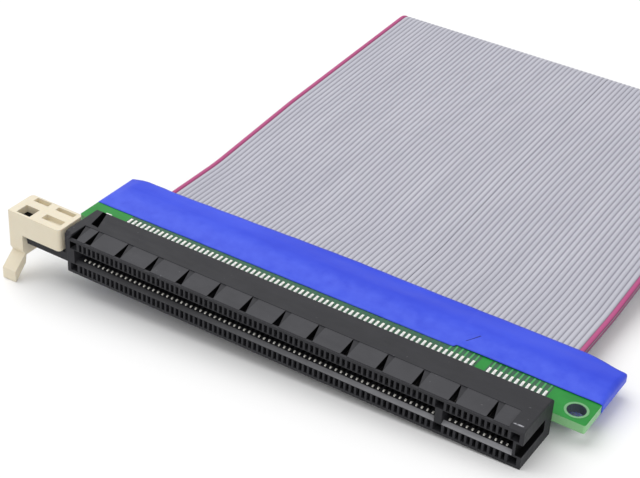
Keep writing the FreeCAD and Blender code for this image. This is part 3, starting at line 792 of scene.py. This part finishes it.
def join_arm(piece):
    """End wall, arm and hub for the latch, joined to the block, with the bore of the hub."""
    back = HOUSING_DEPTH - SHORT_OF
    top = HOUSING_TOP - SHORT_OF
    wall = [(ARM_FRONT, ARM_BOTTOM), (back, ARM_BOTTOM), (back, top - BACK_BEVEL),
            (back - BACK_BEVEL, top), (ARM_FRONT + WALL_BEVEL, top),
            (ARM_FRONT, HOUSING_TOP - WALL_BEVEL)]
    carve(piece, [prism(wall, WALL_SIDE, ROOT - HALF_LENGTH)], "UNION")
    corner = (ARM_LEFT + ARM_CORNER, ARM_FRONT + ARM_CORNER)
    plan = arc(corner, ARM_CORNER, 180, 270, CORNER_STEPS)
    plan += [(WALL_SIDE + ROOT, ARM_FRONT), (WALL_SIDE + ROOT, PIVOT[1] + ARM_RADIUS)]
    plan += arc(PIVOT, ARM_RADIUS, 90, 180)
    carve(piece, [prism(plan, ARM_BOTTOM + SHORT_OF, ARM_TOP, "z")], "UNION")
    carve(piece, [prism(circle(PIVOT, POST_RADIUS), ARM_TOP - ROOT, POST_TOP, "z")], "UNION")
    carve(piece, [prism(circle(PIVOT, BORE_RADIUS), 0, HOUSING_TOP, "z")])


def cut_top(piece):
    """Sloped pads with their pockets, the notch, and the slit and bevel of the right end."""
    over = HOUSING_TOP + PAST
    pads = [(-PAST, LIP - PAD_STEP), (RAMP_START, LIP - PAD_STEP), (RAMP_START, LIP),
            (RAMP_END, HOUSING_TOP - PAD_STEP), (RAMP_END, over), (-PAST, over)]
    carve(piece, [prism(pads, LEFT_GROOVE, RIGHT_RAMP_END)])
    between = [(RAMP_START, LIP - PAD_STEP), (RAMP_END, HOUSING_TOP - 2 * PAD_STEP),
               (RAMP_END, over), (RAMP_START, over)]
    carve(piece, [prism(between, left, left + GROOVE_WIDTH) for left in GROOVES])
    pockets = []
    for left in GROOVES:
        plan = [(left, GROOVE_START), (left + GROOVE_WIDTH, GROOVE_START),
                (left + GROOVE_TIP, GROOVE_END), (left, GROOVE_END)]
        pockets.append(prism(plan, GROOVE_FLOOR, over, "z"))
    carve(piece, pockets)
    slit = box_bar(HALF_LENGTH - END_SLIT, HALF_LENGTH + PAST, -PAST, END_SLIT_BACK,
                   SLOT_LEVEL - END_SLIT_HALF, SLOT_LEVEL + END_SLIT_HALF)
    bevel = [(HALF_LENGTH - END_BEVEL, over),
             (HALF_LENGTH + END_BEVEL_PAST, HOUSING_TOP - END_BEVEL), (HALF_LENGTH + PAST, over)]
    corners, sides = prism(bevel, -PAST, HOUSING_DEPTH + PAST, "z")
    upright = [(x, y, z) for x, z, y in corners]
    carve(piece, [prism(NOTCH_PLAN, NOTCH_FLOOR, over, "z"), slit, (upright, sides)])


def cut_slot(piece):
    """Card slot on both sides of the key, a cell for every contact, and the blind cells."""
    mouth = [(-PAST, SLOT_LEVEL - MOUTH_HALF), (-PAST, SLOT_LEVEL + MOUTH_HALF),
             (0, SLOT_LEVEL + MOUTH_HALF), (LEAD_IN, SLOT_LEVEL + CARD_HALF),
             (SLOT_DEPTH, SLOT_LEVEL + CARD_HALF), (SLOT_DEPTH, SLOT_LEVEL - CARD_HALF),
             (LEAD_IN, SLOT_LEVEL - CARD_HALF), (0, SLOT_LEVEL - MOUTH_HALF)]
    carve(piece, [prism(mouth, -HALF_SPAN - SLOT_SIDE, KEY_SIDE - KEY_HALF),
                  prism(mouth, KEY_SIDE + KEY_HALF, HALF_SPAN + SLOT_SIDE)])
    top = SLOT_LEVEL + CELL_OUTER
    upper = SLOT_LEVEL + CELL_INNER
    lower = SLOT_LEVEL - CELL_INNER
    bottom = SLOT_LEVEL - CELL_OUTER
    behind = HOUSING_DEPTH + PAST
    inside = SLOT_DEPTH - CELL_LAP
    cell = [(-PAST, upper), (-PAST, top), (behind, top), (behind, BOARD_TOP + SHORT_OF),
            (inside, BOARD_TOP + SHORT_OF), (inside, BOARD_BOTTOM - SHORT_OF),
            (behind, BOARD_BOTTOM - SHORT_OF), (behind, bottom), (-PAST, bottom), (-PAST, lower),
            (LEAD_IN + CELL_LAP, lower), (LEAD_IN + CELL_LAP, upper)]
    carve(piece, [prism(cell, x - CELL_HALF, x + CELL_HALF) for x in CONTACTS])
    blind = []
    for middle in (-HALF_SPAN - BLIND_SETBACK, KEY_SIDE, HALF_SPAN + BLIND_SETBACK):
        for low in (bottom, upper):
            blind.append(box_bar(middle - BLIND_HALF, middle + BLIND_HALF, -PAST, BLIND_DEPTH,
                                 low, low + BLIND_HEIGHT))
    carve(piece, blind)


def build_housing():
    block = [(0, 0), (HOUSING_DEPTH, 0), (HOUSING_DEPTH, HOUSING_TOP - BACK_BEVEL),
             (HOUSING_DEPTH - BACK_BEVEL, HOUSING_TOP), (FRONT_BEVEL, HOUSING_TOP), (0, LIP)]
    piece = solid_mesh("slot_housing_look", [prism(block, -HALF_LENGTH, HALF_LENGTH)])
    join_arm(piece)
    cut_top(piece)
    cut_slot(piece)
    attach(piece, "riser")
    dress(piece, "black_moulding", "pad_moulding_painted_light", "shaded_moulding", "worn_lip")
    for face in piece.data.polygons:
        face.material_index = housing_finish(face)
    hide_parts("slot_housing")


# ----------------------------------------
# Contacts: sprung strips in the cells, soldered tails behind the housing.
# ----------------------------------------
STRIP_HALF = 0.21
TIP_HALF = 0.14
TIP_START = 1.9
STRIP_THICKNESS = 0.2
TAIL_END = 14.45

# Middle line of a contact from its tail to its tip: distance from the mouth, and from the card.
SPRING = [(TAIL_END, 0.93), (12.9, 0.93), (10.0, 0.95), (8.7, 0.97), (7.6, 1.5), (6.0, 1.95),
          (3.2, 2.0), (2.4, 1.75), (1.95, 1.25), (1.65, 0.9), (1.4, 0.82), (1.2, 0.92),
          (1.0, 1.3), (0.92, 1.7)]

# Solder mounds: rings of a flattened dome. The sizes vary; each is a first size and a spread.
MOUND_AROUND = 12
MOUND_RINGS = 4
MOUND_DEGREES = 26
SOLDER_HALF_WIDTH = (0.27, 0.03)
SOLDER_FRONT = (12.3, 0.1)
SOLDER_BACK = (TAIL_END + 0.05, -0.25)
SOLDER_HEIGHT = (0.3, 0.06)

# Radii of the lining painted as shade inside the fixing hole.
BARREL_OUTER = 1.59
BARREL_INNER = 1.54

# Dark plate painted as shade in the latch's front pocket: left, right, front, back, bottom and top.
POCKET_SHADE_PLATE = (-56.35, -53.45, 0.55, 3.15, 6.0, 6.1)

# Hold-down tabs: left edge, width and back.
LOCKS = ((WALL_SIDE - 0.9, 1.2, 13.2), (HALF_LENGTH - 2.6, 1.7, 11.4))
LOCK_THICKNESS = 0.3


def vary(first, spread):
    """A first size changed by a random share of its spread."""
    return first + spread * random.random()


def ring_faces(first, around):
    """Quads between the ring of corners that starts at first and the next ring."""
    quads = []
    for step in range(around):
        here = first + step
        following = first + (step + 1) % around
        quads.append((here, following, following + around, here + around))
    return quads


def strip_bar(x, sign):
    """Corners and faces of one sprung strip."""
    verts = []
    faces = []
    last = len(SPRING) - 1
    for place, (y, reach) in enumerate(SPRING):
        before = SPRING[max(place - 1, 0)]
        after = SPRING[min(place + 1, last)]
        run = Vector((after[0] - before[0], after[1] - before[1])).normalized()
        side = Vector((-run.y, run.x)) * STRIP_THICKNESS / 2
        half = TIP_HALF if y < TIP_START else STRIP_HALF
        for across, rise in ((-1, -1), (1, -1), (1, 1), (-1, 1)):
            verts.append((x + across * half, y + rise * side.x,
                          SLOT_LEVEL + sign * (reach + rise * side.y)))
    for place in range(last):
        faces += ring_faces(place * 4, 4)
    faces += [(3, 2, 1, 0), tuple(range(last * 4, last * 4 + 4))]
    return verts, faces


def mound_bar(x, y, z, half_width, half_length, height):
    """A low rounded mound, such as solder."""
    verts = []
    faces = []
    for ring in range(MOUND_RINGS):
        lift = math.radians(ring * MOUND_DEGREES)
        swell = math.cos(lift)
        for step in range(MOUND_AROUND):
            angle = math.tau * step / MOUND_AROUND
            verts.append((x + half_width * swell * math.cos(angle),
                          y + half_length * swell * math.sin(angle), z + height * math.sin(lift)))
    for ring in range(MOUND_RINGS - 1):
        faces += ring_faces(ring * MOUND_AROUND, MOUND_AROUND)
    faces.append(tuple(range((MOUND_RINGS - 1) * MOUND_AROUND, MOUND_RINGS * MOUND_AROUND)))
    faces.append(tuple(range(MOUND_AROUND))[::-1])
    return verts, faces


def build_contacts():
    for row, sign in (("upper", 1), ("lower", -1)):
        piece = solid_mesh(row + "_contacts_look", [strip_bar(x, sign) for x in CONTACTS])
        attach(piece, "riser")
        dress(piece, "contact_metal")
        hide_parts(row + "_contacts_long", row + "_contacts_short")
        level = BOARD_TOP if sign > 0 else BOARD_BOTTOM
        mounds = []
        for x in CONTACTS:
            half_width = vary(*SOLDER_HALF_WIDTH)
            front = vary(*SOLDER_FRONT)
            back = vary(*SOLDER_BACK)
            height = sign * vary(*SOLDER_HEIGHT)
            middle = (front + back) / 2
            mounds.append(mound_bar(x, middle, level, half_width, (back - front) / 2, height))
        solder = solid_mesh(row + "_solder", mounds)
        for face in solder.data.polygons:
            face.use_smooth = True
        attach(solder, "riser")
        dress(solder, "solder_metal")


def build_hole_shade():
    """Dark grey-blue lining painted as the shade inside the fixing hole."""
    low, high = node_box("fixing_hole_ring")
    middle = (low + high) / 2
    outer = circle(middle, BARREL_OUTER)
    inner = circle(middle, BARREL_INNER)
    bars = []
    for place, corner in enumerate(outer):
        following = (place + 1) % len(outer)
        plan = [corner, outer[following], inner[following], inner[place]]
        bars.append(prism(plan, BOARD_BOTTOM, BOARD_TOP, "z"))
    piece = solid_mesh("fixing_hole_barrel", bars)
    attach(piece, "riser")
    dress(piece, "hole_shade_lining")


def build_pocket_shade():
    """Dark plate of painted shade at the bottom of the latch's open front pocket."""
    piece = solid_mesh("latch_pocket_shade", [box_bar(*POCKET_SHADE_PLATE)])
    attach(piece, "latch")
    dress(piece, "shaded_moulding")


def build_locks():
    """Hold-down tabs behind the housing; the right one is shorter and hidden from the front."""
    top = BOARD_TOP + LOCK_THICKNESS
    bars = []
    for left, width, back in LOCKS:
        bars.append(box_bar(left, left + width, HOUSING_DEPTH, back, BOARD_TOP, top))
    piece = solid_mesh("board_locks_look", bars)
    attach(piece, "riser")
    dress(piece, "solder_metal")
    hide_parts("board_lock_left", "board_lock_right")


# ----------------------------------------
# Tracks behind the soldered tails, and the mask painted darker there as shade.
# ----------------------------------------
TRACK_FRONT = 14.3
TRACK_BACK = 16.4
TRACK_FRONT_HALF = 0.16
TRACK_BACK_HALF = 0.14
TRACK_LEAN = 0.12
TRACK_THICKNESS = 0.03
# Tracks left of this are darker, as painted shade.
PALE_TRACKS_FROM = 22.6
MASK_FRONT = 11.0
MASK_THICKNESS = 0.015

# Patches of painted shade on the mask, for the long and the short group: left and right.
MASK_SPANS = ((CONTACTS[0] - 0.6, CONTACTS[LONG_COUNT - 1] + 0.6),
              (CONTACTS[LONG_COUNT] - 0.6, CONTACTS[-1] + 0.5))


def build_tracks():
    tracks = []
    for x in CONTACTS:
        lean = TRACK_LEAN * (random.random() - 0.5)
        plan = [(x - TRACK_FRONT_HALF, TRACK_FRONT), (x + TRACK_FRONT_HALF, TRACK_FRONT),
                (x + TRACK_BACK_HALF + lean, TRACK_BACK), (x - TRACK_BACK_HALF + lean, TRACK_BACK)]
        tracks.append(prism(plan, BOARD_TOP, BOARD_TOP + TRACK_THICKNESS, "z"))
    piece = solid_mesh("slot_board_tracks", tracks)
    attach(piece, "riser")
    dress(piece, "masked_track", "track_painted_shade")
    for face in piece.data.polygons:
        face.material_index = 0 if face.center.x > PALE_TRACKS_FROM * MM else 1
    patches = []
    for left, right in MASK_SPANS:
        patches.append(box_bar(left, right, MASK_FRONT, TRACK_BACK, BOARD_TOP,
                               BOARD_TOP + MASK_THICKNESS))
    piece = solid_mesh("slot_board_mask", patches)
    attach(piece, "riser")
    dress(piece, "mask_painted_shade")


# ----------------------------------------
# Tape: a sleeve pulled round the board, humped over its back edge and wrinkled.
# ----------------------------------------
TAPE_LEFT = -50.42
TAPE_RIGHT = 50.22
TAPE_FRONT = 15.45
TAPE_BACK = 27.4
TAPE_WALL = 0.1
TAPE_TOP_STEPS = 240
TAPE_SIDE_STEPS = 8
TAPE_ROWS = 22

# The tape's outside lies this far over the board, and its end corners are rounded as much.
TAPE_OVER = 0.12
CORNER_RUN = 0.5

# The front edge slants back to a step, where a second layer starts.
FRONT_SLANT = 0.45
TAPE_STEP_SIDE = 23.7
FRONT_STEP = 0.6
STEP_RUN = 0.3
LAP_HEIGHT = 0.08
LAP_RUN = (0.1, 0.5)
LAP_FRONT = 16
LAP_LEAN = 0.12

# The back edge comes forwards to the left of the middle, more so at the left corner, and
# near the right end.
BACK_RUN = 8.0
BACK_LEFT = 1.2
BACK_RIGHT = 1.3
BACK_CORNER = 0.7
BACK_CORNER_RUN = 4.0

# Where the hump, the waves and the crease start, are full, start to fade and end from front
# to back, and where the hump and the waves do from left to right.
TAPE_HUMP = 0.55
HUMP_RUN = (15.6, 21.4, 22.2, 27.6)
WAVE_RUN = (15.4, 16.6, 26.6, 27.8)
CREASE_RUN = (16.6, 17.6, 20.2, 20.9)
ENDS_RUN = (TAPE_LEFT, TAPE_LEFT + 2.5, TAPE_RIGHT - 0.7, TAPE_RIGHT)
CREASE_DEPTH = 0.132
CREASE_SPREAD = 0.22

# Ripples: size, rate along x, rate along y, and two offsets that make each one different.
FRONT_RIPPLE = (0.06, 0.35, 0.0, 3.1, 0.7)
BACK_RIPPLE = (0.08, 0.3, 0.0, 9.4, 2.2)
LONG_WAVE = (0.12, 0.07, 0.25, 0.0, 0.0)
SHORT_WAVE = (0.05, 0.35, 0.5, 0.0, 5.0)


def smooth_step(start, end, place):
    """Zero up to the start and one from the end on, with a smooth slope between."""
    share = min(max((place - start) / (end - start), 0.0), 1.0)
    return share * share * (3 - 2 * share)


def plateau(run, place):
    """Zero outside a run and one in its middle part, with smooth slopes between."""
    start, full, fading, end = run
    return smooth_step(start, full, place) * smooth_step(end, fading, place)


def ripple(kind, x, y=0.0):
    """Smooth random shift at a place."""
    size, x_rate, y_rate, y_offset, z_offset = kind
    return size * noise.noise(Vector((x * x_rate, y * y_rate + y_offset, z_offset)))


def tape_front(x):
    """Front edge of the tape."""
    fall = FRONT_SLANT * (x - TAPE_LEFT) / (TAPE_STEP_SIDE - TAPE_LEFT)
    if x > TAPE_STEP_SIDE:
        step = smooth_step(TAPE_STEP_SIDE, TAPE_STEP_SIDE + STEP_RUN, x)
        fall = FRONT_SLANT + FRONT_STEP * step
    return TAPE_FRONT + fall + ripple(FRONT_RIPPLE, x)


def tape_back(x):
    """Back edge of the tape."""
    corner = BACK_CORNER * smooth_step(TAPE_LEFT + BACK_CORNER_RUN, TAPE_LEFT, x)
    left = -smooth_step(0.0, TAPE_LEFT + BACK_RUN, x) * (BACK_LEFT + corner)
    right = -BACK_RIGHT * smooth_step(TAPE_RIGHT - BACK_RUN, TAPE_RIGHT, x)
    return TAPE_BACK + left + right + ripple(BACK_RIPPLE, x)


def tape_rise(x, y):
    """Height of the tape over its flat place."""
    hump = TAPE_HUMP * plateau(HUMP_RUN, y)
    wave = ripple(LONG_WAVE, x, y) + ripple(SHORT_WAVE, x, y)
    body = plateau(WAVE_RUN, y)
    start, full = (TAPE_STEP_SIDE + run for run in LAP_RUN)
    lap = LAP_HEIGHT * smooth_step(start, full, x + (y - LAP_FRONT) * LAP_LEAN)
    beside = x - CREASE_SIDE + (y - CREASE_FRONT) * CREASE_LEAN
    pinch = CREASE_DEPTH * math.exp(-(beside / CREASE_SPREAD) ** 2) * plateau(CREASE_RUN, y)
    return max((hump + wave * body) * plateau(ENDS_RUN, x), 0.0) + lap * body - pinch


def tape_loop(row, inset):
    """One loop round the board at a row from front to back, inset from the outside."""
    share = row / TAPE_ROWS
    half = BOARD_HALF + TAPE_OVER
    width = TAPE_RIGHT - TAPE_LEFT - 2 * TAPE_OVER
    side = half - TAPE_OVER
    points = []

    def place(x):
        return tape_front(x) + (tape_back(x) - tape_front(x)) * share

    for step in range(TAPE_TOP_STEPS + 1):
        x = TAPE_LEFT + TAPE_OVER + width * step / TAPE_TOP_STEPS
        y = place(x)
        rise = max(tape_rise(x, y), 0.0)
        corner = min(x - TAPE_LEFT, TAPE_RIGHT - x) / CORNER_RUN
        drop = TAPE_OVER * (1 - min(corner, 1.0)) ** 2
        points.append((x, y, SLOT_LEVEL + half + rise - inset - drop))
    for step in range(1, TAPE_SIDE_STEPS):
        height = side - 2 * side * step / TAPE_SIDE_STEPS
        points.append((TAPE_RIGHT - inset, place(TAPE_RIGHT), SLOT_LEVEL + height))
    for step in range(TAPE_TOP_STEPS + 1):
        x = TAPE_RIGHT - TAPE_OVER - width * step / TAPE_TOP_STEPS
        points.append((x, place(x), SLOT_LEVEL - half + inset))
    for step in range(1, TAPE_SIDE_STEPS):
        height = 2 * side * step / TAPE_SIDE_STEPS - side
        points.append((TAPE_LEFT + inset, place(TAPE_LEFT), SLOT_LEVEL + height))
    return points


def build_tape():
    verts = []
    for inset in (0.0, TAPE_WALL):
        for row in range(TAPE_ROWS + 1):
            verts += tape_loop(row, inset)
    around = len(tape_loop(0, 0.0))
    layer = around * (TAPE_ROWS + 1)
    faces = []
    for row in range(TAPE_ROWS):
        for step in range(around):
            a = row * around + step
            b = row * around + (step + 1) % around
            faces.append((a, b, b + around, a + around))
            faces.append((layer + b, layer + a, layer + a + around, layer + b + around))
    for step in range(around):
        a = step
        b = (step + 1) % around
        faces.append((b, a, layer + a, layer + b))
        a += TAPE_ROWS * around
        b += TAPE_ROWS * around
        faces.append((a, b, layer + b, layer + a))
    piece = mesh_piece("slot_board_tape_look", verts, faces, "riser")
    dress(piece, "blue_tape")
    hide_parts("slot_board_tape")


build_housing()
build_contacts()
build_hole_shade()
build_pocket_shade()
build_locks()
build_tracks()
build_tape()


# ----------------------------------------
# Stage, light and camera.
# ----------------------------------------
FLOOR_GAP = 0.05
FLOOR_HALF_METRES = 3.0
WHITE = (1.0, 1.0, 1.0, 1)
SKY_STRENGTH = 0.58
BACKDROP_STRENGTH = 1.0

# Lamps: name, place, what they point at and size in metres, and power in watts.
AIM = (0, 0.04, 0)
LAMPS = (("key", (-0.4, 0.1, 0.8), AIM, 0.9, 5.2), ("fill", (0.5, -0.5, 0.6), AIM, 0.6, 1.6))

CAMERA_PLACE = (110.218, -171.099, 158.727)
CAMERA_AHEAD = (-0.4316, 0.7149, -0.5500)
CAMERA_LENS = 88.18
CAMERA_SENSOR = 36.0
CAMERA_ROLL = math.radians(3.217)
CAMERA_RANGE = (0.01, 20.0)


def build_stage():
    """Pale floor under the lever tip and the housing's right end."""
    drop = math.atan2(-LEVER_TIP[1], HALF_LENGTH - LEVER_TIP[0])
    size = FLOOR_HALF_METRES
    mesh = bpy.data.meshes.new("floor")
    corners = [(-size, -size, 0), (size, -size, 0), (size, size, 0), (-size, size, 0)]
    mesh.from_pydata(corners, [], [(0, 1, 2, 3)])
    floor = bpy.data.objects.new("floor", mesh)
    bpy.context.collection.objects.link(floor)
    floor.location = (HALF_LENGTH * MM, 0, -FLOOR_GAP * MM)
    floor.rotation_euler = (0, -drop, 0)
    m = Material("floor", WHITE, 0.9, specular=0.0)
    cloud = m.noise(6, 2)
    m.colour(m.mix(cloud, (0.93, 0.93, 0.93, 1), (0.97, 0.97, 0.97, 1)))
    floor.data.materials.append(m.data)


def area_light(name, place, aim, size, power):
    """A soft square lamp pointed at a spot, all in metres."""
    data = bpy.data.lights.new(name, "AREA")
    data.size = size
    data.energy = power
    lamp = bpy.data.objects.new(name, data)
    bpy.context.collection.objects.link(lamp)
    lamp.location = place
    aim_line = Vector(aim) - Vector(place)
    lamp.rotation_euler = aim_line.to_track_quat("-Z", "Y").to_euler()


def build_light():
    """White sky: dimmer as a light than as what the camera and mirrored rays see."""
    world = bpy.data.worlds.new("studio")
    bpy.context.scene.world = world
    world.use_nodes = True
    tree = world.node_tree
    sky = tree.nodes["Background"]
    backdrop = tree.nodes.new("ShaderNodeBackground")
    for shade, strength in ((sky, SKY_STRENGTH), (backdrop, BACKDROP_STRENGTH)):
        shade.inputs["Color"].default_value = WHITE
        shade.inputs["Strength"].default_value = strength
    ray = tree.nodes.new("ShaderNodeLightPath")
    mix = tree.nodes.new("ShaderNodeMixShader")
    seen = ray.outputs["Is Camera Ray"]
    for kind in ("Is Glossy Ray", "Is Transmission Ray"):
        either = tree.nodes.new("ShaderNodeMath")
        either.operation = "MAXIMUM"
        tree.links.new(seen, either.inputs[0])
        tree.links.new(ray.outputs[kind], either.inputs[1])
        seen = either.outputs[0]
    tree.links.new(seen, mix.inputs[0])
    tree.links.new(sky.outputs[0], mix.inputs[1])
    tree.links.new(backdrop.outputs[0], mix.inputs[2])
    tree.links.new(mix.outputs[0], tree.nodes["World Output"].inputs["Surface"])
    for lamp in LAMPS:
        area_light(*lamp)


def build_camera():
    """Camera at the photograph's angle: right of, in front of and above the housing."""
    data = bpy.data.cameras.new("camera")
    data.sensor_width = CAMERA_SENSOR
    data.lens = CAMERA_LENS
    data.clip_start, data.clip_end = CAMERA_RANGE
    camera = bpy.data.objects.new("camera", data)
    bpy.context.collection.objects.link(camera)
    ahead = Vector(CAMERA_AHEAD).normalized()
    level = ahead.cross(Vector((0, 0, 1))).normalized()
    up = level.cross(ahead)
    right = level * math.cos(CAMERA_ROLL) + up * math.sin(CAMERA_ROLL)
    up = right.cross(ahead)
    turn = Matrix((right, up, -ahead)).transposed().to_4x4()
    camera.matrix_world = Matrix.Translation(Vector(CAMERA_PLACE) * MM) @ turn
    bpy.context.scene.camera = camera


build_stage()
build_light()
build_camera()
bpy.context.scene.view_settings.view_transform = "Standard"
